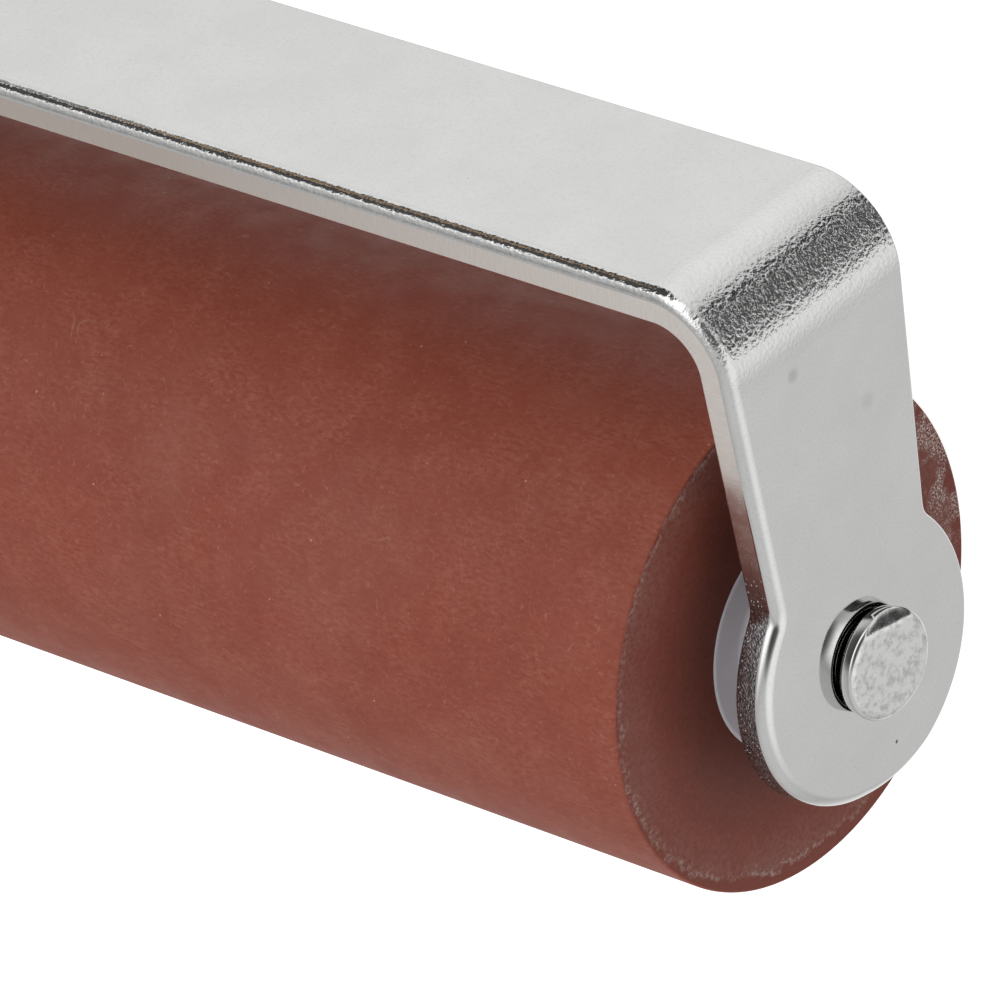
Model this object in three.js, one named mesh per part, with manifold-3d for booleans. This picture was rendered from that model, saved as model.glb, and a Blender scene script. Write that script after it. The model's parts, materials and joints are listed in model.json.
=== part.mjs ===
// A hand brayer for inking and pasting: a rubber-covered roller, 45 mm across and 200 mm long, spins on a
// headed steel axle between the ends of a bent steel yoke. A steel tang, bolted through the middle of
// the yoke, carries a turned beech handle.
//
// The brayer lies on a bench, resting on its roller and on the swell at the end of its handle, both at
// z = 0. X runs along the roller, +Y towards the butt of the handle and +Z up, and the origin is on the
// bench under the middle of the bounding box. Sizes are in millimetres.
//
// Every piece is drawn in the tool's own frame first: the axle's centre at the origin, X along the
// axle, Y up the handle and Z across the yoke. The whole tool is then tipped to lie on the bench.
import * as THREE from "three";
import { mergeVertices } from "three/addons/utils/BufferGeometryUtils.js";
import Module from "manifold-3d";

// Driving dimensions
const ROLLER_RADIUS = 22.5;
const ROLLER_LENGTH = 200;
const STRAP_THICKNESS = 3.2; // the yoke's steel strip
const STRAP_WIDTH = 22;
const ARM_OUTER_FACE = 108; // from the middle of the roller to the outside of an arm
const YOKE_HEIGHT = 39.6; // from the axle to the outer face of the crossbar
const BEND_RADIUS = 7.5; // outside of each bend
const LOBE_RADIUS = 13; // the round end of an arm, about the axle
const NECK_WIDTH = 19; // of an arm where it meets its lobe
const AXLE_RADIUS = 4;
const FIT_GAP = 0.3; // between pieces that are pressed, bonded or clamped together
const RUN_GAP = 0.1; // around the axle, in the bushes and in the arms

// Roller: rubber on a steel tube, with a nylon bush in each end
const CORE_RADIUS = 10;
const CORE_WALL = 2;
const RUBBER_EDGE = 0.4; // chamfer at each end of the rubber
const FLANGE_RADIUS = 10.1;
const FLANGE_THICKNESS = 2.2;
const FLANGE_PROUD = 0.2; // the flange stands this far out of the rubber's end
const SPIGOT_LENGTH = 14;
const HUB_RADIUS = 7; // the hub keeps the roller clear of the arm
const END_FLOAT = 0.3; // between a hub and its arm

// Axle: a head outside the right arm and a matching cap, pressed on a tenon, outside the left one
const HEAD_RADIUS = 4.85;
const HEAD_THICKNESS = 2.1;
const HEAD_CHAMFER = 0.3;
const HEAD_STANDOFF = 0.5;
const TENON_RADIUS = 2.5;
const TENON_LENGTH = 1.2;

// Handle: a tang with a collar, held to the crossbar by a nut, in a ferruled grip
const STUD_RADIUS = 3.85;
const STUD_HOLE_RADIUS = 4.3;
const COLLAR_RADIUS = 9;
const COLLAR_THICKNESS = 3.5;
const NECK_RADIUS = 5;
const TANG_RADIUS = 3.6;
const TANG_END = 112;
const FLAT_WASHER_THICKNESS = 1.6;
const FLAT_WASHER_RADIUS = 8;
const SPRING_WASHER_THICKNESS = 1.9;
const SPRING_WASHER_RADIUS = 7;
const SPRING_WASHER_SPLIT = 1.2;
const NUT_THICKNESS = 4.5;
const NUT_ACROSS_FLATS = 13;
const FERRULE_START = 58;
const FERRULE_LENGTH = 21;
const FERRULE_WALL = 0.9;
const FERRULE_FRONT_RADIUS = 9.3;
const FERRULE_BACK_RADIUS = 10.6;
const FERRULE_PIN_AT = 70;
const FERRULE_PIN_RADIUS = 1.2;
const SWELL_RADIUS = 15; // the handle's widest place, which rests on the bench
const SWELL_AT = 174;
const BUTT_ROUND = 12; // radius of the round from the swell to the butt
const BUTT_FLAT_RADIUS = 6;

// Sides of the turned pieces
const ROLLER_SIDES = 72;
const HANDLE_SIDES = 36;
const SMALL_SIDES = 30;

const halfRoller = ROLLER_LENGTH / 2;
const armInnerFace = ARM_OUTER_FACE - STRAP_THICKNESS;
const crossbarInside = YOKE_HEIGHT - STRAP_THICKNESS;
const headBack = ARM_OUTER_FACE + HEAD_STANDOFF;
const axleEnd = headBack + HEAD_THICKNESS;

const wasm = await Module();
wasm.setup();

// A closed geometry as a manifold-3d solid, and a solid as a geometry.
function toSolid(geometry) {
  const bare = geometry.clone();
  bare.deleteAttribute("normal");
  bare.deleteAttribute("uv");
  const merged = mergeVertices(bare, 1e-4);
  const vertProperties = merged.attributes.position.array;
  const triVerts = new Uint32Array(merged.index.array);
  return new wasm.Manifold(new wasm.Mesh({ numProp: 3, vertProperties, triVerts }));
}

function toGeometry(solid) {
  const mesh = solid.getMesh();
  const geometry = new THREE.BufferGeometry();
  geometry.setAttribute("position", new THREE.BufferAttribute(mesh.vertProperties, 3));
  geometry.setIndex(new THREE.BufferAttribute(mesh.triVerts, 1));
  return geometry;
}

// The first geometry with all the others cut out of it.
function cut(geometry, ...cutters) {
  const rest = cutters.reduce((solid, cutter) => solid.subtract(toSolid(cutter)), toSolid(geometry));
  return toGeometry(rest);
}

function common(first, second) {
  return toGeometry(toSolid(first).intersect(toSolid(second)));
}

// A turned piece about Y. The profile is [radius, height] pairs that run up the outside, then back
// along the axis or down the bore.
function turned(profile, sides) {
  const points = profile.map(([radius, height]) => new THREE.Vector2(radius, height));
  points.push(points[0].clone());
  return new THREE.LatheGeometry(points, sides);
}

function ring(inner, outer, start, end, sides) {
  const profile = [[outer, start], [outer, end], [inner, end], [inner, start]];
  return turned(profile, sides);
}

// Turns a piece that was drawn up the Y axis to lie along the X axis.
function alongX(geometry) {
  return geometry.rotateZ(-Math.PI / 2);
}

// A plain rod through the origin's plane, used for holes and pins.
function rod(radius, length, sides) {
  return new THREE.CylinderGeometry(radius, radius, length, sides);
}

function extruded(shape, depth, curveSegments) {
  return new THREE.ExtrudeGeometry(shape, { depth, bevelEnabled: false, curveSegments });
}

// Roller

function rubberSleeve() {
  const bore = CORE_RADIUS + FIT_GAP;
  const shoulder = halfRoller - RUBBER_EDGE;
  const face = ROLLER_RADIUS - RUBBER_EDGE;
  const profile = [
    [bore, -halfRoller],
    [face, -halfRoller],
    [ROLLER_RADIUS, -shoulder],
    [ROLLER_RADIUS, shoulder],
    [face, halfRoller],
    [bore, halfRoller],
  ];
  return alongX(turned(profile, ROLLER_SIDES));
}

const flangeOuterFace = halfRoller + FLANGE_PROUD;
const flangeInnerFace = flangeOuterFace - FLANGE_THICKNESS;
const coreHalf = flangeInnerFace - FIT_GAP;

function coreTube() {
  return alongX(ring(CORE_RADIUS - CORE_WALL, CORE_RADIUS, -coreHalf, coreHalf, HANDLE_SIDES));
}

// A flanged nylon bush: a spigot in the tube, a flange about flush with the rubber, and a hub.
function endBush() {
  const bore = AXLE_RADIUS + RUN_GAP;
  const spigot = CORE_RADIUS - CORE_WALL - FIT_GAP;
  const hubFace = armInnerFace - END_FLOAT;
  const profile = [
    [bore, flangeInnerFace - SPIGOT_LENGTH],
    [spigot, flangeInnerFace - SPIGOT_LENGTH],
    [spigot, flangeInnerFace],
    [FLANGE_RADIUS, flangeInnerFace],
    [FLANGE_RADIUS, flangeOuterFace],
    [HUB_RADIUS, flangeOuterFace],
    [HUB_RADIUS, hubFace],
    [bore, hubFace],
  ];
  return alongX(turned(profile, HANDLE_SIDES));
}

// Axle

function axlePin() {
  const profile = [
    [0, -headBack - TENON_LENGTH],
    [TENON_RADIUS, -headBack - TENON_LENGTH],
    [TENON_RADIUS, -headBack],
    [AXLE_RADIUS, -headBack],
    [AXLE_RADIUS, headBack],
    [HEAD_RADIUS, headBack],
    [HEAD_RADIUS, axleEnd - HEAD_CHAMFER],
    [HEAD_RADIUS - HEAD_CHAMFER, axleEnd],
    [0, axleEnd],
  ];
  return alongX(turned(profile, SMALL_SIDES));
}

function axleCap() {
  const back = -headBack - FIT_GAP;
  const bore = TENON_RADIUS + FIT_GAP;
  const profile = [
    [0, -axleEnd],
    [HEAD_RADIUS - HEAD_CHAMFER, -axleEnd],
    [HEAD_RADIUS, -axleEnd + HEAD_CHAMFER],
    [HEAD_RADIUS, back],
    [bore, back],
    [bore, -headBack - TENON_LENGTH - FIT_GAP],
    [0, -headBack - TENON_LENGTH - FIT_GAP],
  ];
  return alongX(turned(profile, SMALL_SIDES));
}

// Yoke

// The strip bent into a U, seen along Z, as wide as its lobes.
function bentStrip() {
  const bend = ARM_OUTER_FACE - BEND_RADIUS;
  const bendHeight = YOKE_HEIGHT - BEND_RADIUS;
  const innerRadius = BEND_RADIUS - STRAP_THICKNESS;
  const shape = new THREE.Shape();
  shape.moveTo(ARM_OUTER_FACE, -LOBE_RADIUS);
  shape.absarc(bend, bendHeight, BEND_RADIUS, 0, Math.PI / 2, false);
  shape.absarc(-bend, bendHeight, BEND_RADIUS, Math.PI / 2, Math.PI, false);
  shape.lineTo(-ARM_OUTER_FACE, -LOBE_RADIUS);
  shape.lineTo(-armInnerFace, -LOBE_RADIUS);
  shape.absarc(-bend, bendHeight, innerRadius, Math.PI, Math.PI / 2, true);
  shape.absarc(bend, bendHeight, innerRadius, Math.PI / 2, 0, true);
  shape.lineTo(armInnerFace, -LOBE_RADIUS);
  shape.closePath();
  return extruded(shape, 2 * LOBE_RADIUS, 8).translate(0, 0, -LOBE_RADIUS);
}

// The arm's outline seen along X: a lobe about the axle, a neck and a taper out to the strip's width.
function armOutline() {
  const half = STRAP_WIDTH / 2;
  const neck = NECK_WIDTH / 2;
  const neckHeight = Math.sqrt(LOBE_RADIUS ** 2 - neck ** 2);
  const shoulder = YOKE_HEIGHT - BEND_RADIUS;
  const top = YOKE_HEIGHT + 1;
  const shape = new THREE.Shape();
  const start = Math.atan2(neckHeight, -neck);
  const end = Math.atan2(neckHeight, neck) + 2 * Math.PI;
  shape.absarc(0, 0, LOBE_RADIUS, start, end, false);
  shape.lineTo(half, shoulder);
  shape.lineTo(half, top);
  shape.lineTo(-half, top);
  shape.lineTo(-half, shoulder);
  shape.closePath();
  const length = 2 * ARM_OUTER_FACE + 2;
  return extruded(shape, length, 24).translate(0, 0, -length / 2).rotateY(Math.PI / 2);
}

function frameYoke() {
  const axleHole = alongX(rod(AXLE_RADIUS + RUN_GAP, 2 * axleEnd, SMALL_SIDES));
  const studHole = rod(STUD_HOLE_RADIUS, 4 * STRAP_THICKNESS, SMALL_SIDES).translate(0, YOKE_HEIGHT, 0);
  return cut(common(bentStrip(), armOutline()), axleHole, studHole);
}

// Tang and the parts that clamp it to the crossbar

const flatWasherTop = crossbarInside - FIT_GAP;
const springWasherTop = flatWasherTop - FLAT_WASHER_THICKNESS - FIT_GAP;
const nutTop = springWasherTop - SPRING_WASHER_THICKNESS - FIT_GAP;
const nutBottom = nutTop - NUT_THICKNESS;
const collarStart = YOKE_HEIGHT + FIT_GAP;
const collarEnd = collarStart + COLLAR_THICKNESS;

function ferrulePinHole() {
  return rod(FERRULE_PIN_RADIUS + FIT_GAP / 2, 4 * FERRULE_BACK_RADIUS, 16)
    .rotateX(Math.PI / 2)
    .translate(0, FERRULE_PIN_AT, 0);
}

function tangRod() {
  const chamfer = 0.6;
  const profile = [
    [0, nutBottom - 1],
    [STUD_RADIUS - chamfer, nutBottom - 1],
    [STUD_RADIUS, nutBottom - 1 + chamfer],
    [STUD_RADIUS, collarStart],
    [COLLAR_RADIUS - chamfer, collarStart],
    [COLLAR_RADIUS, collarStart + chamfer],
    [COLLAR_RADIUS, collarEnd - chamfer],
    [COLLAR_RADIUS - chamfer, collarEnd],
    [NECK_RADIUS + 1.5, collarEnd],
    [NECK_RADIUS, collarEnd + 1.5],
    [NECK_RADIUS, FERRULE_START + FERRULE_WALL],
    [TANG_RADIUS, FERRULE_START + FERRULE_WALL],
    [TANG_RADIUS, TANG_END - 2],
    [TANG_RADIUS - 2, TANG_END],
    [0, TANG_END],
  ];
  return cut(turned(profile, SMALL_SIDES), ferrulePinHole());
}

function flatWasher() {
  const start = flatWasherTop - FLAT_WASHER_THICKNESS;
  return ring(STUD_HOLE_RADIUS, FLAT_WASHER_RADIUS, start, flatWasherTop, SMALL_SIDES);
}

function springWasher() {
  const start = springWasherTop - SPRING_WASHER_THICKNESS;
  const washer = ring(STUD_HOLE_RADIUS, SPRING_WASHER_RADIUS, start, springWasherTop, SMALL_SIDES);
  const slit = new THREE.BoxGeometry(SPRING_WASHER_SPLIT, 3 * SPRING_WASHER_THICKNESS, SPRING_WASHER_RADIUS);
  slit.rotateZ(Math.PI / 9);
  slit.translate(0, start + SPRING_WASHER_THICKNESS / 2, SPRING_WASHER_RADIUS * 0.8);
  return cut(washer, slit);
}

function lockNut() {
  const corner = NUT_ACROSS_FLATS / 2 / Math.cos(Math.PI / 6);
  const hexagon = new THREE.CylinderGeometry(corner, corner, NUT_THICKNESS, 6);
  hexagon.translate(0, nutBottom + NUT_THICKNESS / 2, 0);
  const chamfer = 0.7;
  const rounded = turned(
    [
      [0, nutBottom],
      [corner - chamfer, nutBottom],
      [corner, nutBottom + chamfer],
      [corner, nutTop - chamfer],
      [corner - chamfer, nutTop],
      [0, nutTop],
    ],
    SMALL_SIDES,
  );
  const bore = rod(STUD_RADIUS + RUN_GAP, 3 * NUT_THICKNESS, SMALL_SIDES).translate(0, nutBottom, 0);
  return cut(common(hexagon, rounded), bore);
}

// Handle

const ferruleEnd = FERRULE_START + FERRULE_LENGTH;

// The ferrule's outside radius at a height up the handle.
function ferruleRadius(height) {
  const share = (height - FERRULE_START) / FERRULE_LENGTH;
  return THREE.MathUtils.lerp(FERRULE_FRONT_RADIUS, FERRULE_BACK_RADIUS, share);
}

function ferrule() {
  const mouth = NECK_RADIUS + FIT_GAP;
  const floor = FERRULE_START + FERRULE_WALL;
  const profile = [
    [mouth, FERRULE_START],
    [FERRULE_FRONT_RADIUS - 1, FERRULE_START],
    [ferruleRadius(FERRULE_START + 1), FERRULE_START + 1],
    [ferruleRadius(ferruleEnd), ferruleEnd],
    [ferruleRadius(ferruleEnd) - FERRULE_WALL, ferruleEnd],
    [ferruleRadius(floor) - FERRULE_WALL, floor],
    [mouth, floor],
  ];
  return cut(turned(profile, HANDLE_SIDES), ferrulePinHole());
}

function ferrulePin() {
  const length = 2 * (ferruleRadius(FERRULE_PIN_AT) + 0.3);
  return rod(FERRULE_PIN_RADIUS, length, 16).rotateX(Math.PI / 2).translate(0, FERRULE_PIN_AT, 0);
}

// The grip's outline from its shoulder behind the ferrule to the flat of its butt.
function gripOutline() {
  const outline = new THREE.Path();
  const shoulder = ferruleEnd + FIT_GAP;
  const roundCentre = SWELL_RADIUS - BUTT_ROUND;
  const buttAngle = Math.asin((BUTT_FLAT_RADIUS - roundCentre) / BUTT_ROUND);
  outline.moveTo(FERRULE_BACK_RADIUS, shoulder);
  outline.bezierCurveTo(11.6, shoulder + 1, 11.2, shoulder + 4, 10.4, shoulder + 9);
  outline.bezierCurveTo(9.6, shoulder + 15, 14.2, shoulder + 26, 14.2, shoulder + 44);
  outline.bezierCurveTo(14.2, shoulder + 60, 12.2, shoulder + 66, 12.2, shoulder + 74);
  outline.bezierCurveTo(12.2, shoulder + 82, SWELL_RADIUS, SWELL_AT - 8, SWELL_RADIUS, SWELL_AT);
  const points = outline.getPoints(6);
  const steps = 6;
  for (let step = 1; step <= steps; step += 1) {
    const angle = THREE.MathUtils.lerp(Math.PI / 2, buttAngle, step / steps);
    const radius = roundCentre + BUTT_ROUND * Math.sin(angle);
    points.push(new THREE.Vector2(radius, SWELL_AT + BUTT_ROUND * Math.cos(angle)));
  }
  return points.map((point) => [point.x, point.y]);
}

function handleGrip() {
  const spigotStart = FERRULE_START + FERRULE_WALL + FIT_GAP;
  const spigot = (height) => ferruleRadius(height) - FERRULE_WALL - FIT_GAP;
  const bore = TANG_RADIUS + FIT_GAP;
  const outside = gripOutline();
  const buttHeight = outside[outside.length - 1][1];
  const profile = [
    [bore, spigotStart],
    [spigot(spigotStart), spigotStart],
    [spigot(ferruleEnd), ferruleEnd + FIT_GAP],
    ...outside,
    [0, buttHeight],
    [0, TANG_END + 3],
    [bore, TANG_END],
  ];
  return cut(turned(profile, HANDLE_SIDES), ferrulePinHole());
}

// Assembly

function finish(color, roughness, metalness) {
  return new THREE.MeshStandardMaterial({ color, roughness, metalness });
}

const rubber = finish(0x8f5445, 0.55, 0);
const nylon = finish(0xe6e4e6, 0.4, 0);
const nickel = finish(0xd2d1cd, 0.22, 1);
const steel = finish(0xa9a9a6, 0.35, 1);
const beech = finish(0xc79a63, 0.45, 0);

function mesh(name, geometry, material) {
  const made = new THREE.Mesh(geometry, material);
  made.name = name;
  return made;
}

// The same piece at the roller's other end: half a turn about Y, which moves it from +X to -X.
function atLeft(piece) {
  piece.rotation.y = Math.PI;
  return piece;
}

const tool = new THREE.Group();
tool.add(
  mesh("rubber_sleeve", rubberSleeve(), rubber),
  mesh("core_tube", coreTube(), steel),
  mesh("right_bush", endBush(), nylon),
  atLeft(mesh("left_bush", endBush(), nylon)),
  mesh("axle_pin", axlePin(), nickel),
  mesh("axle_cap", axleCap(), nickel),
  mesh("frame_yoke", frameYoke(), nickel),
  mesh("tang_rod", tangRod(), nickel),
  mesh("flat_washer", flatWasher(), steel),
  mesh("spring_washer", springWasher(), steel),
  mesh("lock_nut", lockNut(), steel),
  mesh("ferrule", ferrule(), nickel),
  mesh("ferrule_pin", ferrulePin(), steel),
  mesh("handle_grip", handleGrip(), beech),
);

// The tool tips about its axle until the round below the swell comes down to the bench.
const roundCentre = SWELL_RADIUS - BUTT_ROUND;
const drop = (ROLLER_RADIUS - BUTT_ROUND) / Math.hypot(SWELL_AT, roundCentre);
tool.rotation.x = -(Math.asin(drop) - Math.atan2(roundCentre, SWELL_AT));

const brayer = new THREE.Group();
brayer.add(tool);
brayer.updateMatrixWorld(true);
const reach = new THREE.Box3().setFromObject(brayer, true);
tool.position.set(0, -(reach.min.y + reach.max.y) / 2, -reach.min.z);

export default brayer;
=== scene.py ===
"""A rubber brayer: a rubber-covered roller on a headed axle in a nickel-plated yoke, with a beech handle.

Every piece is drawn in the tool's own frame, in millimetres: the axle's centre at the origin, X along the
axle, Y up the handle and Z across the yoke. place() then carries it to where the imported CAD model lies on
the bench, in metres.
"""

import json
from math import atan2, cos, degrees, pi, radians, sin, sqrt, tan

import bmesh
import bpy
from mathutils import Matrix, Vector


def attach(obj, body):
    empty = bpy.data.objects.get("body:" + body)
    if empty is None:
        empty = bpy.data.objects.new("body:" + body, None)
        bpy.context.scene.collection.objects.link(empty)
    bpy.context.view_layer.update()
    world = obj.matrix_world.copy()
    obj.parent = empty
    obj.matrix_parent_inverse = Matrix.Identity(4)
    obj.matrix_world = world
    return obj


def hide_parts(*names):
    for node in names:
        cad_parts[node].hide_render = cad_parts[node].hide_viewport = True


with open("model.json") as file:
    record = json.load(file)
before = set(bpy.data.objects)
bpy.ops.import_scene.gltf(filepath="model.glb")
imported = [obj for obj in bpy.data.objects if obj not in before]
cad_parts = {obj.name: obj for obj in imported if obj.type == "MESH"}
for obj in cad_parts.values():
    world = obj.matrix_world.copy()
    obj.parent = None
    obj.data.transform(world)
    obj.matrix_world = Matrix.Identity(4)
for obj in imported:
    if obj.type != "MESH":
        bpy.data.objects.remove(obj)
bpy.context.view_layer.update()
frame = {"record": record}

MM = 0.001

# Where the tool lies: the axle's centre, and how far the handle dips to reach the bench
axle_place = Vector(frame["record"]["behaviour"]["joints"][0]["pos_m"])
handle_axis = Vector(frame["record"]["mounts"][0]["axis"])
handle_dip = atan2(-handle_axis.z, handle_axis.y)
TOOL = Matrix.Translation(axle_place) @ Matrix.Rotation(-handle_dip, 4, "X")
TOOL_MM = TOOL @ Matrix.Scale(MM, 4)

# Camera, in the tool's frame: a long lens that looks at the right-hand end of the roller
CAMERA_PLACE = Vector((594.07, 453.56, 510.55))
CAMERA_RIGHT = Vector((0.75028, -0.14451, -0.64514))
CAMERA_UP = Vector((-0.25176, 0.83985, -0.48091))
CAMERA_BACK = Vector((0.61131, 0.52324, 0.59374))
CAMERA_LENS = 365.5

# Roller
ROLLER_RADIUS = 22.5
HALF_ROLLER = 100
RUBBER_ROUND = 0.25
BLOOM_CENTRE = (0.45, 0.45)  # of the pale ring on a cut end, a little off the axle
CORE_RADIUS = 10
CORE_WALL = 2
CORE_HALF = 97.7
FLANGE_RADIUS = 10.1
FLANGE_INNER = 98
FLANGE_OUTER = 100.2
SPIGOT_START = 84
HUB_RADIUS = 7
HUB_END = 104.5
AXLE_RADIUS = 4

# Axle
HEAD_BACK = 108.43
HEAD_FACE = 110.3
HEAD_NECK = 3.3
HEAD_RADIUS = 4.7
FACE_RADIUS = 4.9
HEAD_ASKEW = Vector((0, -0.42, -0.6))  # how far the hammer spread a head off its centre
HEAD_LEAN = 0.04
HEAD_ROUND = 0.55
HAMMER_EDGE = 3.5  # how far from the middle the struck side of a head begins
HAMMER_SLOPE = 0.46
HAMMER_TURN = radians(-9)
HAMMER_WAVE = 0.02  # how uneven the struck side's border is

# Yoke
STRAP_THICKNESS = 3.2
HALF_STRAP = 11
ARM_FACE = 108
YOKE_HEIGHT = 39.6
BEND_RADIUS = 7.5
BEND_START = ARM_FACE - BEND_RADIUS
LOBE_RADIUS = 13
HALF_NECK = 9.5
NECK_FILLET = 2
FRONT_ROUND = 1.1  # the rolled-over edge of the strip's outer face, on the side that faces up
BACK_ROUND = 0.25
ROLLED_FROM = -6  # places across the strip between which its edge changes from crisp to rolled over
ROLLED_FULLY = 2
INNER_ROUND = 0.25
AXLE_HOLE = 4.2
STUD_HOLE = 4.3
HOLE_ROUND = 0.3
HOLE_INNER_ROUND = 0.2

# Tang, nut and washers
STUD_RADIUS = 3.85
COLLAR_RADIUS = 9
COLLAR_START = 39.65
COLLAR_END = 43.4
NECK_RADIUS = 5
WASHER_TOP = 36.35
WASHER_THICKNESS = 1.6
WASHER_RADIUS = 8
SPRING_TOP = 34.65
SPRING_RADIUS = 7
SPRING_THICKNESS = 2
NUT_TOP = 32.3
NUT_THICKNESS = 4.5
NUT_FLATS = 13
STUD_END = 26.8
THREAD_PITCH = 1.25

# Handle
FERRULE_START = 58
FERRULE_END = 79.1
FERRULE_WALL = 0.9
FERRULE_FRONT = 9.3
FERRULE_BACK = 10.6
FERRULE_PIN_AT = 70
FERRULE_PIN_RADIUS = 1.2
FERRULE_PIN_DOME = 0.3
FERRULE_GROOVE = 0.35
SWELL_RADIUS = 15
SWELL_AT = 174
BUTT_ROUND = 12
BUTT_FLAT = 6

AROUND = 192  # sides of the large turned pieces
AROUND_SMALL = 96
AROUND_HOLE = 64
TINY = 1e-6  # a length below this counts as nothing


# Camera


def add_camera():
    camera = bpy.data.objects.new("camera", bpy.data.cameras.new("camera"))
    camera.data.lens = CAMERA_LENS
    camera.data.clip_end = 100
    axes = Matrix((CAMERA_RIGHT, CAMERA_UP, CAMERA_BACK)).transposed().to_4x4()
    camera.matrix_world = TOOL @ Matrix.Translation(CAMERA_PLACE * MM) @ axes
    bpy.context.scene.collection.objects.link(camera)
    bpy.context.scene.camera = camera


add_camera()


# Shapes


def arc(centre, radius, start, end, steps):
    """Points of an arc in a plane, in degrees, both ends included."""
    angles = [radians(start + (end - start) * i / steps) for i in range(steps + 1)]
    return [(centre[0] + radius * cos(a), centre[1] + radius * sin(a)) for a in angles]


def rounded(corners, steps=4):
    """An open outline through corners (along, out, fillet radius), with the fillets drawn as arcs."""
    points = [corners[0][:2]]
    for before, corner, after in zip(corners, corners[1:], corners[2:]):
        here = Vector(corner[:2])
        fillet = corner[2]
        if not fillet:
            points.append(corner[:2])
            continue
        back = (Vector(before[:2]) - here).normalized()
        on = (Vector(after[:2]) - here).normalized()
        half = back.angle(on) / 2
        centre = here + (back + on).normalized() * fillet / sin(half)
        first = here + back * fillet / tan(half) - centre
        last = here + on * fillet / tan(half) - centre
        start = degrees(atan2(first.y, first.x))
        sweep = degrees(-first.angle_signed(last))
        points += arc(centre, fillet, start, start + sweep, steps)
    return points + [corners[-1][:2]]


def place(name, mesh, materials, body, nodes):
    """Makes an object of a mesh drawn in the tool's frame, lays it on the bench and ties it to its body."""
    mesh.transform(TOOL_MM)
    piece = bpy.data.objects.new(name, mesh)
    bpy.context.scene.collection.objects.link(piece)
    for material in materials:
        mesh.materials.append(material)
    weighted = piece.modifiers.new("weighted", "WEIGHTED_NORMAL")
    weighted.keep_sharp = True
    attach(piece, body)
    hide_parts(*nodes)


def finished(bm, name, sharp_angle=40):
    """Turns a bmesh into a smooth-shaded mesh whose real corners stay sharp."""
    bmesh.ops.recalc_face_normals(bm, faces=bm.faces)
    for face in bm.faces:
        face.smooth = True
    for edge in bm.edges:
        if len(edge.link_faces) == 2 and edge.calc_face_angle() > radians(sharp_angle):
            edge.smooth = False
    mesh = bpy.data.meshes.new(name)
    bm.to_mesh(mesh)
    bm.free()
    return mesh


def turned(bm, profile, sides, axis="X"):
    """Adds a turned solid. The profile is (along, radius) pairs. It starts and ends on the axis, or it is
    closed through a bore."""
    rings = []
    for along, radius in profile:
        if radius < TINY:
            rings.append([bm.verts.new((along, 0, 0) if axis == "X" else (0, along, 0))])
            continue
        ring = []
        for side in range(sides):
            a = 2 * pi * side / sides
            if axis == "X":
                spot = (along, radius * cos(a), radius * sin(a))
            else:
                spot = (radius * cos(a), along, radius * sin(a))
            ring.append(bm.verts.new(spot))
        rings.append(ring)
    pairs = list(zip(rings, rings[1:]))
    if len(rings[0]) > 1:
        pairs.append((rings[-1], rings[0]))
    for first, second in pairs:
        for side in range(sides):
            after = (side + 1) % sides
            if len(first) == 1 and len(second) == 1:
                break
            if len(first) == 1:
                corners = (first[0], second[side], second[after])
            elif len(second) == 1:
                corners = (first[side], first[after], second[0])
            else:
                corners = (first[side], first[after], second[after], second[side])
            bm.faces.new(corners)


def turned_mesh(name, profile, sides, axis="X", sharp_angle=40):
    bm = bmesh.new()
    turned(bm, profile, sides, axis)
    return finished(bm, name, sharp_angle)


def mirrored(profile):
    """The same turned profile at the roller's other end."""
    return [(-along, radius) for along, radius in profile]


# Materials


def new_material(name):
    material = bpy.data.materials.new(name)
    material.use_nodes = True
    tree = material.node_tree
    return material, tree, tree.nodes["Principled BSDF"]


def srgb(red, green, blue):
    """A colour given as 0 to 255 on screen, as Blender's linear colour."""
    linear = [((c / 255 + 0.055) / 1.055) ** 2.4 if c > 10 else c / 255 / 12.92 for c in (red, green, blue)]
    return (*linear, 1)


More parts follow.
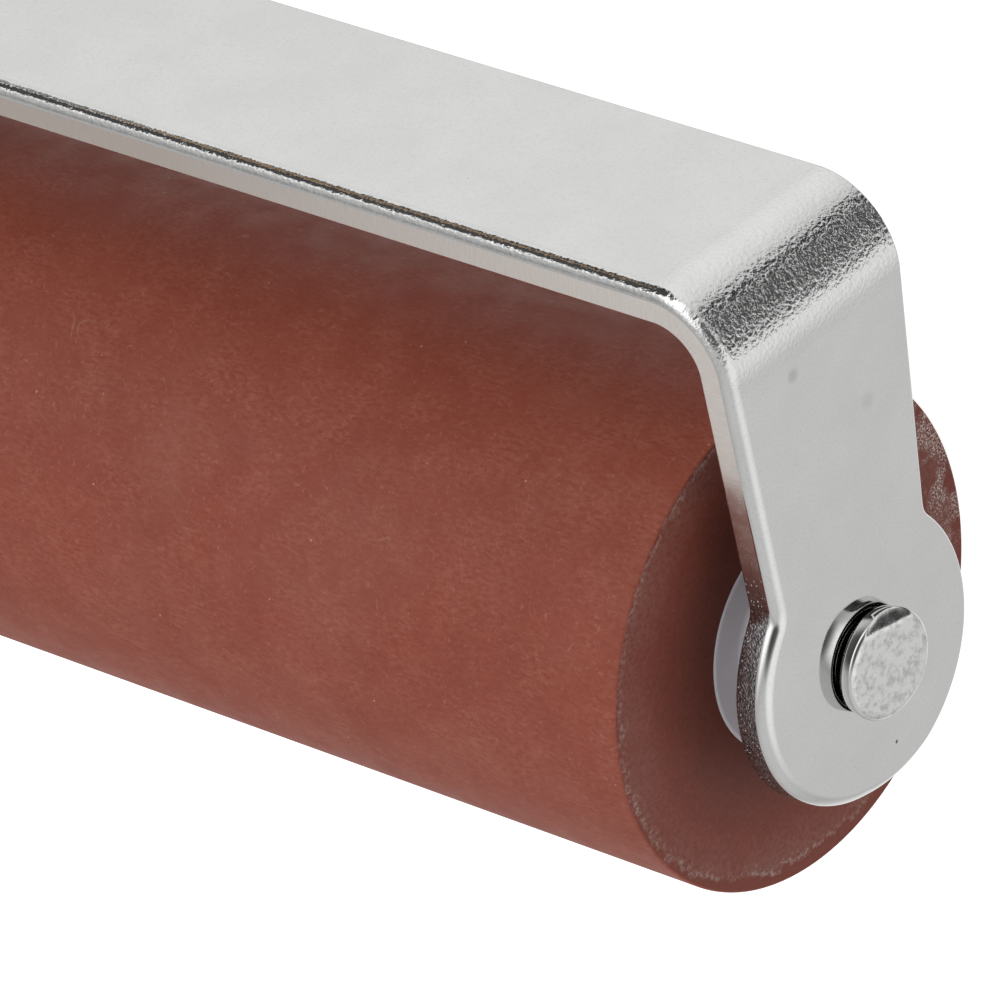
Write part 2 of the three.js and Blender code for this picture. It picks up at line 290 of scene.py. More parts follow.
class Nodes:
    """Short calls that add texture nodes to a material's tree. Lengths are in millimetres."""

    def __init__(self, tree):
        self.tree = tree
        coordinates = tree.nodes.new("ShaderNodeTexCoord")
        shift = tree.nodes.new("ShaderNodeVectorMath")
        shift.operation = "SUBTRACT"
        tree.links.new(coordinates.outputs["Object"], shift.inputs[0])
        shift.inputs[1].default_value = axle_place
        turn = tree.nodes.new("ShaderNodeVectorRotate")
        turn.rotation_type = "X_AXIS"
        turn.inputs["Angle"].default_value = handle_dip
        tree.links.new(shift.outputs[0], turn.inputs["Vector"])
        scale = tree.nodes.new("ShaderNodeVectorMath")
        scale.operation = "SCALE"
        scale.inputs["Scale"].default_value = 1 / MM
        tree.links.new(turn.outputs[0], scale.inputs[0])
        self.here = scale.outputs[0]  # the point in the tool's frame, in millimetres

    def stretched(self, x=1, y=1, z=1, source=None):
        node = self.tree.nodes.new("ShaderNodeVectorMath")
        node.operation = "MULTIPLY"
        self.tree.links.new(source or self.here, node.inputs[0])
        node.inputs[1].default_value = (x, y, z)
        return node.outputs[0]

    def noise(self, size, detail=2, roughness=0.5, at=None, distortion=0):
        node = self.tree.nodes.new("ShaderNodeTexNoise")
        self.tree.links.new(at or self.here, node.inputs["Vector"])
        node.inputs["Scale"].default_value = 1 / size
        node.inputs["Detail"].default_value = detail
        node.inputs["Roughness"].default_value = roughness
        node.inputs["Distortion"].default_value = distortion
        return node.outputs["Fac"]

    def dots(self, spacing, radius, at=None):
        """Round dots, strewn at random: 1 at a dot's middle, 0 past its radius."""
        node = self.tree.nodes.new("ShaderNodeTexVoronoi")
        self.tree.links.new(at or self.here, node.inputs["Vector"])
        node.inputs["Scale"].default_value = 1 / spacing
        return self.ramp(node.outputs["Distance"], radius / spacing, 0.5 * radius / spacing)

    def spot(self, y, z, radius):
        """One round spot, at a place on the arms: 1 at its middle, 0 past its radius."""
        return self.ramp(self.radius(y, z), radius, 0.4 * radius)

    def hairs(self, size, width, share):
        """Thin curved lines a few millimetres long, the more of them the larger the share."""
        near_line = self.math("ABSOLUTE", self.math("SUBTRACT", self.noise(size, detail=1), 0.5))
        line = self.ramp(near_line, width, 0)
        return self.math("MULTIPLY", line, self.ramp(self.noise(size * 0.6), 1 - share, 1.03 - share))

    def ramp(self, value, low, high, to_low=0, to_high=1):
        node = self.tree.nodes.new("ShaderNodeMapRange")
        self.tree.links.new(value, node.inputs["Value"])
        node.inputs["From Min"].default_value = low
        node.inputs["From Max"].default_value = high
        node.inputs["To Min"].default_value = to_low
        node.inputs["To Max"].default_value = to_high
        return node.outputs["Result"]

    def math(self, operation, first, second=None):
        node = self.tree.nodes.new("ShaderNodeMath")
        node.operation = operation
        for socket, value in zip(node.inputs, (first, second)):
            if value is None:
                continue
            if isinstance(value, (int, float)):
                socket.default_value = value
            else:
                self.tree.links.new(value, socket)
        return node.outputs[0]

    def mix(self, share, first, second):
        node = self.tree.nodes.new("ShaderNodeMix")
        node.data_type = "RGBA"
        self.tree.links.new(share, node.inputs["Factor"])
        for socket, value in ((node.inputs[6], first), (node.inputs[7], second)):
            if isinstance(value, tuple):
                socket.default_value = value
            else:
                self.tree.links.new(value, socket)
        return node.outputs[2]

    def parts(self):
        node = self.tree.nodes.new("ShaderNodeSeparateXYZ")
        self.tree.links.new(self.here, node.inputs[0])
        return node.outputs

    def bump(self, height, depth, before=None):
        """A bump of that depth in millimetres, on top of the one before."""
        node = self.tree.nodes.new("ShaderNodeBump")
        self.tree.links.new(height, node.inputs["Height"])
        node.inputs["Distance"].default_value = depth * MM
        node.inputs["Strength"].default_value = 1
        if before:
            self.tree.links.new(before, node.inputs["Normal"])
        return node.outputs["Normal"]

    def radius(self, centre_y, centre_z):
        """Distance from a line that runs along the axle, through that place on an arm."""
        _, y, z = self.parts()
        up = self.math("SUBTRACT", y, centre_y)
        across = self.math("SUBTRACT", z, centre_z)
        squares = self.math("ADD", self.math("POWER", up, 2), self.math("POWER", across, 2))
        return self.math("SQRT", squares)


def bend_zone(n):
    """1 along the middle of the outside of each bend, where the strip was stretched most, 0.4 on either
    side of that and 0 off the bends."""
    x, y, _ = n.parts()
    out = n.math("SUBTRACT", n.math("ABSOLUTE", x), BEND_START)
    up = n.math("SUBTRACT", y, YOKE_HEIGHT - BEND_RADIUS)
    edges = n.math("MULTIPLY", n.ramp(out, -1.2, 0.8), n.ramp(up, -1.2, 0.8))
    turn = n.math("ARCTAN2", out, up)
    begins = n.ramp(turn, radians(34), radians(44))
    ends = n.ramp(turn, radians(72), radians(62))
    middle = n.math("MULTIPLY", begins, ends)
    return n.math("MULTIPLY", edges, n.ramp(middle, 0, 1, 0.4, 1))


def crossbar_edge(n):
    """1 on the rolled-over edge of the crossbar's outer face."""
    _, y, z = n.parts()
    out = n.ramp(z, HALF_STRAP - FRONT_ROUND - 0.3, HALF_STRAP - FRONT_ROUND + 0.3)
    return n.math("MULTIPLY", out, n.ramp(y, YOKE_HEIGHT - 1.3, YOKE_HEIGHT - 0.9))


def nickel_plate():
    """Bright nickel: a mirror with a fine grain and a few pits and marks, and a coarse orange peel where
    the strip was stretched."""
    material, tree, shader = new_material("nickel_plate")
    n = Nodes(tree)
    shader.inputs["Metallic"].default_value = 1
    cloud = n.noise(6, detail=3)
    tone = n.mix(n.ramp(cloud, 0.35, 0.65), srgb(214, 214, 213), srgb(218, 218, 217))
    tone = n.mix(n.ramp(n.noise(0.25, detail=3), 0.5, 0.75, 0, 0.4), tone, srgb(196, 196, 195))
    for mark, strength in ((n.spot(29.5, 3.6, 0.8), 0.25), (n.spot(22.5, -4.7, 1), 0.12)):
        tone = n.mix(n.math("MULTIPLY", mark, strength), tone, srgb(110, 110, 108))
    pits = n.math("MAXIMUM", n.dots(9, 0.16), n.spot(-9.6, -2.1, 0.22))
    tree.links.new(n.mix(pits, tone, srgb(80, 76, 72)), shader.inputs["Base Color"])
    stretched = n.math("MAXIMUM", bend_zone(n), n.math("MULTIPLY", crossbar_edge(n), 0.45))
    polish = n.ramp(n.noise(2.5, detail=3), 0.3, 0.7, 0.06, 0.1)
    roughness = n.math("MAXIMUM", polish, n.ramp(stretched, 0.3, 1, 0, 0.2))
    tree.links.new(roughness, shader.inputs["Roughness"])
    peel = n.math("MULTIPLY", n.noise(0.36, detail=2), stretched)
    waves = n.bump(n.noise(1.8, detail=2), 0.0025)
    tree.links.new(n.bump(pits, 0.02, n.bump(peel, 0.12, waves)), shader.inputs["Normal"])
    return material


def scuffed_nickel():
    """The plating of a pin's head, dulled and marked by the hammer that set it."""
    material, tree, shader = new_material("scuffed_nickel")
    n = Nodes(tree)
    shader.inputs["Metallic"].default_value = 1
    marks = n.noise(0.7, detail=5, roughness=0.65)
    dull = n.ramp(marks, 0.46, 0.76)
    tree.links.new(n.mix(dull, srgb(220, 220, 219), srgb(158, 158, 156)), shader.inputs["Base Color"])
    tree.links.new(n.ramp(dull, 0, 1, 0.12, 0.25), shader.inputs["Roughness"])
    tree.links.new(n.bump(marks, 0.01), shader.inputs["Normal"])
    return material


def painted_gap_shade():
    """Painted shade: a flat near-black put on the gap behind each head, where shade falls."""
    material, _, shader = new_material("painted_gap_shade")
    shader.inputs["Base Color"].default_value = srgb(30, 28, 27)
    shader.inputs["Roughness"].default_value = 0.7
    return material


def sheared_edge():
    """The plated edge of the strip, with the fine lines that the shear left across its thickness. Round the
    lobes the cut is darker and torn, with bright specks in patches."""
    material, tree, shader = new_material("sheared_edge")
    n = Nodes(tree)
    uv = tree.nodes.new("ShaderNodeUVMap")
    uv.uv_map = "edge"
    shader.inputs["Metallic"].default_value = 1
    along_cut = n.stretched(1, 0.08, 1, uv.outputs[0])
    lines = n.noise(0.16, detail=2, at=along_cut)
    x, y, _ = n.parts()
    lobe = n.ramp(y, LOBE_RADIUS + 3, LOBE_RADIUS - 5)
    near_bend = n.ramp(n.math("ABSOLUTE", x), 45, 100)  # the cut edge is paler there
    clean = n.mix(near_bend, srgb(218, 206, 198), srgb(254, 246, 240))
    tone = n.mix(n.ramp(lines, 0.3, 0.7, 0, 0.12), clean, srgb(150, 140, 132))
    specks = n.math("MULTIPLY", n.dots(0.42, 0.1), n.ramp(n.noise(1.6, detail=2), 0.42, 0.56))
    torn_tone = n.mix(n.ramp(n.noise(0.3, detail=2), 0.4, 0.6), srgb(118, 119, 121), srgb(172, 173, 175))
    tone = n.mix(lobe, tone, n.mix(specks, torn_tone, srgb(255, 255, 255)))
    tree.links.new(tone, shader.inputs["Base Color"])
    tree.links.new(n.ramp(n.noise(1.5, detail=3), 0.3, 0.7, 0.2, 0.3), shader.inputs["Roughness"])
    ridges = n.math("MULTIPLY", n.noise(0.2, detail=1), 0.4)
    torn = n.math("MULTIPLY", lobe, n.math("ADD", ridges, specks))
    tree.links.new(n.bump(torn, 0.1, n.bump(lines, 0.003)), shader.inputs["Normal"])
    return material


def plain_steel():
    """Grey steel with no plating, slightly pitted."""
    material, tree, shader = new_material("plain_steel")
    n = Nodes(tree)
    shader.inputs["Metallic"].default_value = 1
    tone = n.mix(n.noise(2, detail=4), srgb(165, 165, 162), srgb(196, 195, 190))
    tree.links.new(tone, shader.inputs["Base Color"])
    tree.links.new(n.ramp(n.noise(0.8, detail=3), 0.3, 0.7, 0.25, 0.45), shader.inputs["Roughness"])
    tree.links.new(n.bump(n.noise(0.25, detail=3), 0.006), shader.inputs["Normal"])
    return material


def rubber():
    """Reddish-brown rubber with a satin skin: a fine drawn grain with worn patches and wrinkles, clouds of
    haze, hairline scuffs and dust."""
    material, tree, shader = new_material("rubber")
    n = Nodes(tree)
    cloud = n.noise(9, detail=4, roughness=0.6)
    tone = n.mix(n.ramp(cloud, 0.3, 0.7), srgb(149, 69, 50), srgb(158, 76, 57))
    grain = n.noise(0.3, detail=3, roughness=0.6, at=n.stretched(0.4, 1, 1))
    worn = n.ramp(n.noise(4, detail=3), 0.35, 0.65, 0.25, 0.8)
    tone = n.mix(n.math("MULTIPLY", n.ramp(grain, 0.35, 0.75), worn), tone, srgb(180, 105, 85))
    wrinkles = n.hairs(0.9, 0.02, 0.5)
    tone = n.mix(n.math("MULTIPLY", wrinkles, 0.3), tone, srgb(196, 142, 124))
    haze = n.noise(14, detail=5, roughness=0.6)
    tone = n.mix(n.ramp(haze, 0.5, 0.8, 0, 0.3), tone, srgb(170, 112, 98))
    hairs = n.math("MAXIMUM", n.hairs(6, 0.0035, 0.38), n.hairs(3.5, 0.005, 0.36))
    tone = n.mix(n.math("MULTIPLY", hairs, 0.28), tone, srgb(205, 165, 150))
    tone = n.mix(n.math("MULTIPLY", n.dots(3.2, 0.12), 0.7), tone, srgb(215, 185, 160))
    tone = n.mix(n.math("MULTIPLY", n.dots(8, 0.2, n.stretched(0.9, 1, 1.1)), 0.5), tone, srgb(90, 42, 32))
    tree.links.new(tone, shader.inputs["Base Color"])
    tree.links.new(n.ramp(n.noise(3, detail=4), 0.3, 0.7, 0.52, 0.66), shader.inputs["Roughness"])
    shader.inputs["Specular IOR Level"].default_value = 0.38
    tree.links.new(n.bump(grain, 0.012), shader.inputs["Normal"])
    return material


def rubber_end():
    """The cut end of the rubber, with painted shade that darkens it towards the bush, a pale bloom in a
    broken line inside its rim and a patch of white dust."""
    material, tree, shader = new_material("rubber_end")
    n = Nodes(tree)
    ragged = n.ramp(n.noise(1.6, detail=5, roughness=0.65), 0.2, 0.8, -1.0, 1.0)
    fine = n.noise(0.5, detail=6, roughness=0.8)
    reach = n.math("ADD", n.radius(*BLOOM_CENTRE), ragged)
    rim = n.ramp(reach, 21.5, 21.8, 1, 0)
    line = n.math("MULTIPLY", n.math("MULTIPLY", n.ramp(reach, 20.6, 21.4), rim), n.ramp(fine, 0.45, 0.58))
    _, y, z = n.parts()
    patches = n.ramp(n.noise(7, detail=2), 0.35, 0.65, 0.3, 1)
    dusty = n.math("MULTIPLY", n.ramp(n.math("SUBTRACT", y, z), 17, 23), n.ramp(n.noise(2.2), 0.45, 0.55))
    dust = n.math("MULTIPLY", dusty, n.ramp(n.noise(0.2, detail=3, roughness=0.6), 0.48, 0.6))
    near_rim = n.math("MULTIPLY", n.ramp(reach, 17, 21.4, 0, 0.36), rim)
    haze = n.math("MULTIPLY", near_rim, n.ramp(fine, 0.3, 0.8))
    bloom = n.math("MULTIPLY", n.math("MAXIMUM", n.math("MULTIPLY", line, 0.85), haze), patches)
    tone = n.mix(n.noise(5, detail=4), srgb(128, 58, 44), srgb(140, 68, 52))
    tone = n.mix(n.ramp(fine, 0.35, 0.75, 0, 0.4), tone, srgb(178, 112, 96))
    # painted shade: the end is darkened towards the bush, in the recess beside the arm
    painted_shade_near_bush = n.ramp(reach, 13, 18.5, 0.42, 0)
    tone = n.mix(painted_shade_near_bush, tone, srgb(66, 29, 22))
    tone = n.mix(bloom, tone, srgb(205, 180, 172))
    tone = n.mix(dust, tone, srgb(250, 236, 230))
    hairs = n.hairs(4, 0.004, 0.4)
    tone = n.mix(n.math("MULTIPLY", hairs, 0.2), tone, srgb(190, 140, 125))
    tree.links.new(tone, shader.inputs["Base Color"])
    shader.inputs["Roughness"].default_value = 0.55
    shader.inputs["Specular IOR Level"].default_value = 0.3
    bump = n.bump(n.noise(0.8, detail=5, roughness=0.7), 0.015)
    tree.links.new(bump, shader.inputs["Normal"])
    return material


def nylon():
    """Milky white nylon that lets a little light in."""
    material, tree, shader = new_material("nylon")
    n = Nodes(tree)
    tone = n.mix(n.noise(1.5, detail=4), srgb(228, 226, 232), srgb(238, 236, 240))
    tree.links.new(tone, shader.inputs["Base Color"])
    shader.inputs["Roughness"].default_value = 0.38
    shader.inputs["Subsurface Weight"].default_value = 0.3
    shader.inputs["Subsurface Scale"].default_value = 0.002
    shader.inputs["Subsurface Radius"].default_value = (1, 1, 1)
    tree.links.new(n.bump(n.noise(0.4, detail=2), 0.01), shader.inputs["Normal"])
    return material


def beech():
    """Clear-varnished beech with its grain along the handle and the short dark flecks of its rays."""
    material, tree, shader = new_material("beech")
    n = Nodes(tree)
    grain = n.noise(2.2, detail=5, roughness=0.6, at=n.stretched(1, 0.035, 1), distortion=0.3)
    fibres = n.noise(0.5, detail=3, roughness=0.6, at=n.stretched(1, 0.03, 1))
    flecks = n.ramp(n.noise(0.8, detail=1, at=n.stretched(1, 0.22, 1)), 0.66, 0.74)
    tone = n.mix(n.ramp(grain, 0.3, 0.7), srgb(203, 160, 108), srgb(219, 181, 131))
    tone = n.mix(n.ramp(fibres, 0.4, 0.8, 0, 0.45), tone, srgb(186, 140, 90))
    tone = n.mix(n.math("MULTIPLY", flecks, 0.55), tone, srgb(150, 101, 60))
    tree.links.new(tone, shader.inputs["Base Color"])
    shader.inputs["Roughness"].default_value = 0.42
    shader.inputs["Coat Weight"].default_value = 0.7
    shader.inputs["Coat Roughness"].default_value = 0.12
    tree.links.new(n.bump(fibres, 0.01), shader.inputs["Normal"])
    return material


NICKEL = nickel_plate()
SCUFFED = scuffed_nickel()
# the near-black painted shade for the gaps behind the heads
PAINTED_GAP_SHADE = painted_gap_shade()
EDGE = sheared_edge()
STEEL = plain_steel()
RUBBER = rubber()
RUBBER_END = rubber_end()
NYLON = nylon()
BEECH = beech()


# Roller


def rubber_sleeve():
    corners = [
        (-HALF_ROLLER, CORE_RADIUS, 0),
        (-HALF_ROLLER, ROLLER_RADIUS, RUBBER_ROUND),
        (HALF_ROLLER, ROLLER_RADIUS, RUBBER_ROUND),
        (HALF_ROLLER, CORE_RADIUS, 0),
    ]
    mesh = turned_mesh("rubber_sleeve", rounded(corners), AROUND)
    for polygon in mesh.polygons:
        polygon.material_index = int(abs(polygon.normal.x) > 0.9)
    place("rubber_sleeve", mesh, [RUBBER, RUBBER_END], "roller", ["rubber_sleeve"])


def core_tube():
    bore = CORE_RADIUS - CORE_WALL
    outside = CORE_RADIUS - 0.02
    profile = [(-CORE_HALF, bore), (-CORE_HALF, outside), (CORE_HALF, outside), (CORE_HALF, bore)]
    mesh = turned_mesh("core_tube", profile, AROUND_SMALL)
    place("core_tube", mesh, [STEEL], "roller", ["core_tube"])


def end_bush(name, side):
    bore = AXLE_RADIUS + 0.1
    spigot = CORE_RADIUS - CORE_WALL - 0.05
    corners = [
        (SPIGOT_START, bore, 0),
        (SPIGOT_START, spigot, 0.5),
        (FLANGE_INNER, spigot, 0),
        (FLANGE_INNER, FLANGE_RADIUS, 0.1),
        (FLANGE_OUTER, FLANGE_RADIUS, 0.3),
        (FLANGE_OUTER, HUB_RADIUS, 0.4),
        (HUB_END, HUB_RADIUS, 0.3),
        (HUB_END, bore, 0),
    ]
    profile = rounded(corners)
    if side < 0:
        profile = mirrored(profile)
    place(name, turned_mesh(name, profile, AROUND_SMALL), [NYLON], "roller", [name])


# Axle


def head_profile():
    """The head's section from its back to the middle of its face: a short neck, the head's side, a rounded
    rim and a flat face in rings."""
    rim = FACE_RADIUS - HEAD_ROUND
    side_end = (HEAD_FACE - HEAD_ROUND, FACE_RADIUS, 0)
    back = [(HEAD_BACK, HEAD_NECK, 0), (HEAD_BACK, HEAD_RADIUS, 0.1), side_end]
    section = rounded(back, 3)[:-1]
    section += arc((HEAD_FACE - HEAD_ROUND, rim), HEAD_ROUND, 90, 0, 10)
    inner = [rim * share for share in (0.95, 0.9, 0.85, 0.8, 0.75, 0.7, 0.6, 0.45, 0.3, 0.15)]
    return section + [(HEAD_FACE, radius) for radius in inner] + [(HEAD_FACE, 0)]


def hammered(mesh, side):
    """Spreads a head off its centre and tilts one side of its face, where the hammer struck it askew."""
    for vert in mesh.vertices:
        x, y, z = vert.co
        share = (side * x - HEAD_BACK) / (HEAD_FACE - HEAD_BACK)
        if share < -0.001:
            continue
        across = y * cos(HAMMER_TURN) + z * sin(HAMMER_TURN) + HAMMER_WAVE * sin(4 * z)
        struck = HEAD_FACE - HAMMER_SLOPE * max(0, across - HAMMER_EDGE)
        lean = HEAD_LEAN * share * (z + FACE_RADIUS)
        vert.co = HEAD_ASKEW + Vector((side * (min(side * x, struck) - lean), y, z))


def axle_pin():
    profile = [(-HEAD_BACK, 0), (-HEAD_BACK, AXLE_RADIUS), (ARM_FACE, AXLE_RADIUS), (ARM_FACE, HEAD_NECK)]
    profile += head_profile()
    mesh = turned_mesh("axle_pin", profile, AROUND_SMALL, sharp_angle=50)
    hammered(mesh, 1)
    mark_faces(mesh)
    place("axle_pin", mesh, [NICKEL, SCUFFED, PAINTED_GAP_SHADE], "axle", ["axle_pin"])


def axle_cap():
    start = HEAD_BACK + 0.02  # just clear of the axle's end
    profile = [(start, 0)] + [(max(along, start), radius) for along, radius in head_profile()]
    mesh = turned_mesh("axle_cap", mirrored(profile), AROUND_SMALL, sharp_angle=50)
    hammered(mesh, -1)
    mark_faces(mesh)
    place("axle_cap", mesh, [NICKEL, SCUFFED, PAINTED_GAP_SHADE], "axle", ["axle_cap"])


def mark_faces(mesh):
    """Gives a head's face its scuffed plating, and the gap behind the head a near-black painted shade."""
    for polygon in mesh.polygons:
        along = abs(polygon.center.x)
        faces_out = abs(polygon.normal.x) > 0.82
        in_gap = ARM_FACE + 0.01 < along < HEAD_BACK + 0.05
        if along > HEAD_FACE - 1.2 and faces_out:
            polygon.material_index = 1
        # the neck and the back of the head, in the gap: painted shade, near-black
        elif in_gap and polygon.center.yz.length < HEAD_RADIUS:
            polygon.material_index = 2


# Yoke: cut flat, with its edges rounded, then bent. Flat places are (along, across, depth) where along is
# the length of the outer face from the crossbar's middle, and depth is below the outer face.

BEND_LENGTH = BEND_RADIUS * pi / 2
LOBE_AT = BEND_START + BEND_LENGTH + YOKE_HEIGHT - BEND_RADIUS
BEND_STEPS = 30


def quarter_outline():
    """One quarter of the flat yoke, from the crossbar's middle to the tip of a lobe, as (along, across)."""
    neck_height = sqrt(LOBE_RADIUS**2 - HALF_NECK**2)
    neck = Vector((LOBE_AT - neck_height, HALF_NECK))
    shoulder = Vector((BEND_START + BEND_LENGTH, HALF_STRAP))
    along_arm = (neck - shoulder).normalized()
    # the fillet touches the arm's edge and the lobe from outside both
    normal = Vector((along_arm.y, -along_arm.x))
    if normal.y < 0:
        normal = -normal
    lobe = Vector((LOBE_AT, 0))
    reach = LOBE_RADIUS + NECK_FILLET
    offset = shoulder + normal * NECK_FILLET - lobe
    b = offset.dot(along_arm)
    travel = -b - sqrt(b * b - offset.length_squared + reach**2)
    centre = shoulder + normal * NECK_FILLET + along_arm * travel
    first = degrees(atan2(-normal.y, -normal.x))
    to_lobe = lobe - centre
    last = degrees(atan2(to_lobe.y, to_lobe.x))
    fillet = arc(centre, NECK_FILLET, first, last, 8)
    start = degrees(atan2(-to_lobe.y, -to_lobe.x))
    round_end = arc(lobe, LOBE_RADIUS, start, 0, 48)
    return [(0, HALF_STRAP), tuple(shoulder)] + fillet + round_end[1:]


def full_outline():
    quarter = quarter_outline()
    right = quarter + [(s, -v) for s, v in reversed(quarter[:-1])]
    left = [(-s, v) for s, v in reversed(quarter[1:])]
    left_below = [(-s, -v) for s, v in quarter[1:-1]]
    return right + left_below + left


def inward(points, index):
    """The unit normal that points into an outline which runs clockwise."""
    before = Vector(points[index]) - Vector(points[index - 1])
    after = Vector(points[(index + 1) % len(points)]) - Vector(points[index])
    direction = before.normalized() + after.normalized()
    return Vector((direction.y, -direction.x)).normalized()


def edge_rows(across):
    """The edge's section from the outer face to the inner one, as (inset, depth). It changes smoothly from
    the rolled-over side of the strip to the crisp one."""
    rolled = min(1, max(0, (across - ROLLED_FROM) / (ROLLED_FULLY - ROLLED_FROM)))
    outer = BACK_ROUND + (FRONT_ROUND - BACK_ROUND) * rolled
    middle = STRAP_THICKNESS - INNER_ROUND
    return arc((outer, outer), outer, 270, 180, 8) + arc((INNER_ROUND, middle), INNER_ROUND, 180, 90, 4)


def add_loop(bm, points, places, sign=1):
    """Adds a loop of points, each moved inward and down by its own place in the edge's section."""
    loop = []
    for i, ((s, v), (inset, depth)) in enumerate(zip(points, places)):
        normal = inward(points, i)
        loop.append(bm.verts.new((s + sign * normal.x * inset, v + sign * normal.y * inset, depth)))
    return loop


def bridge(bm, first, second, material_index=0):
    for i in range(len(first)):
        j = (i + 1) % len(first)
        face = bm.faces.new((first[i], first[j], second[j], second[i]))
        face.material_index = material_index


def ring_of(centre, radius, steps):
    points = arc(centre, radius, 360, 0, steps)
    return points[:-1]


def wrap(spot):
    """Bends a flat place round both corners of the yoke, into the tool's frame."""
    s, v, depth = spot
    side = 1 if s >= 0 else -1
    s = abs(s)
    if s <= BEND_START:
        x, y = s, YOKE_HEIGHT - depth
    elif s < BEND_START + BEND_LENGTH:
        angle = (s - BEND_START) / BEND_RADIUS
        x = BEND_START + (BEND_RADIUS - depth) * sin(angle)
        y = YOKE_HEIGHT - BEND_RADIUS + (BEND_RADIUS - depth) * cos(angle)
    else:
        x = ARM_FACE - depth
        y = YOKE_HEIGHT - BEND_RADIUS - (s - BEND_START - BEND_LENGTH)
    return Vector((side * x, y, v))


def frame_yoke():
    bm = bmesh.new()
    outline = full_outline()
    sections = [edge_rows(v) for s, v in outline]
    loops = [add_loop(bm, outline, places) for places in zip(*sections)]
    wall = next(row for row, spot in enumerate(sections[0]) if spot[0] < TINY)
    for i, (first, second) in enumerate(zip(loops, loops[1:])):
        bridge(bm, first, second, int(i >= wall))
    # holes, each with a small round at both faces
    hole_loops = []
    for centre, radius in (((LOBE_AT, 0), AXLE_HOLE), ((-LOBE_AT, 0), AXLE_HOLE), ((0, 0), STUD_HOLE)):
        circle = ring_of(centre, radius, AROUND_HOLE)
        section = arc((HOLE_ROUND, HOLE_ROUND), HOLE_ROUND, 270, 180, 3)
        inner = STRAP_THICKNESS - HOLE_INNER_ROUND
        section += arc((HOLE_INNER_ROUND, inner), HOLE_INNER_ROUND, 180, 90, 3)
        hole = [add_loop(bm, circle, [spot] * len(circle), -1) for spot in section]
        for first, second in zip(hole, hole[1:]):
            bridge(bm, first, second)
        hole_loops.append(hole)
    for which in (0, -1):
        rim = []
        for loop in [loops[which]] + [hole[which] for hole in hole_loops]:
            for i in range(len(loop)):
                rim.append(bm.edges.get((loop[i], loop[(i + 1) % len(loop)])))
        bmesh.ops.triangle_fill(bm, use_beauty=True, edges=rim)
    uv = bm.loops.layers.uv.new("edge")
    for face in bm.faces:
        for loop in face.loops:
            loop[uv].uv = (loop.vert.co.x + loop.vert.co.y, loop.vert.co.z)
    cuts = [BEND_START + BEND_LENGTH * i / BEND_STEPS for i in range(BEND_STEPS + 1)]
    for cut in cuts + [-c for c in cuts]:
        everything = bm.verts[:] + bm.edges[:] + bm.faces[:]
        bmesh.ops.bisect_plane(bm, geom=everything, plane_co=(cut, 0, 0), plane_no=(1, 0, 0), dist=1e-4)
    for vert in bm.verts:
        vert.co = wrap(vert.co)
    mesh = finished(bm, "frame_yoke", 60)
    place("frame_yoke", mesh, [NICKEL, EDGE], "frame", ["frame_yoke"])


# Tang, nut and washers


def threads(start, end, crest, root):
    """A screw thread seen in section, as plain ridges from start to end."""
    count = max(1, round(abs(end - start) / THREAD_PITCH))
    pitch = (end - start) / count
    profile = []
    for i in range(count):
        profile += [(start + pitch * i, root), (start + pitch * (i + 0.5), crest)]
    return profile + [(end, root)]


def tang_rod():
    """The collar on the crossbar, the threaded stud under it and the neck above it. The tang's tail is out
    of sight in the ferrule and the grip, so it isn't drawn."""
    neck_end = FERRULE_START + 2
    corners = [
        (COLLAR_START, STUD_RADIUS, 0),
        (COLLAR_START, COLLAR_RADIUS, 0.5),
        (COLLAR_END, COLLAR_RADIUS, 0.8),
        (COLLAR_END, NECK_RADIUS, 2),
        (neck_end, NECK_RADIUS, 0),
        (neck_end, 0, 0),
    ]
    stud = [(STUD_END, 0), (STUD_END, STUD_RADIUS - 0.9), (STUD_END + 0.5, STUD_RADIUS - 0.3)]
    screw = threads(STUD_END + 0.6, YOKE_HEIGHT - STRAP_THICKNESS, STUD_RADIUS, STUD_RADIUS - 0.5)
    mesh = turned_mesh("tang_rod", stud + screw + rounded(corners, 8), AROUND_SMALL, "Y", 50)
    place("tang_rod", mesh, [NICKEL], "frame", ["tang_rod"])


def flat_washer():
    bottom = WASHER_TOP - WASHER_THICKNESS
    corners = [
        (bottom, STUD_HOLE, 0),
        (bottom, WASHER_RADIUS, 0.15),
        (WASHER_TOP, WASHER_RADIUS, 0.4),
        (WASHER_TOP, STUD_HOLE, 0),
    ]
    mesh = turned_mesh("flat_washer", rounded(corners), AROUND_SMALL, "Y")
    place("flat_washer", mesh, [STEEL], "frame", ["flat_washer"])


def spring_washer():
    """A split ring of square section, its two ends a little apart."""
    bm = bmesh.new()
    middle = (STUD_HOLE + SPRING_RADIUS) / 2
    half = (SPRING_RADIUS - STUD_HOLE) / 2
    corners = [
        (0, -half, 0),
        (SPRING_THICKNESS, -half, 0.2),
        (SPRING_THICKNESS, half, 0.2),
        (0, half, 0.2),
        (0, 0, 0),
    ]
    section = rounded(corners, 3)
    steps = 90
    bottom = SPRING_TOP - SPRING_THICKNESS
    rings = []
    for step in range(steps + 1):
        angle = radians(95 + 350 * step / steps)
        ring = []
        for along, out in section:
            radius = middle + out
            ring.append(bm.verts.new((radius * cos(angle), bottom + along, radius * sin(angle))))
        rings.append(ring)
    for first, second in zip(rings, rings[1:]):
        bridge(bm, first, second)
    bm.faces.new(rings[0])
    bm.faces.new(list(reversed(rings[-1])))
    place("spring_washer", finished(bm, "spring_washer"), [STEEL], "frame", ["spring_washer"])


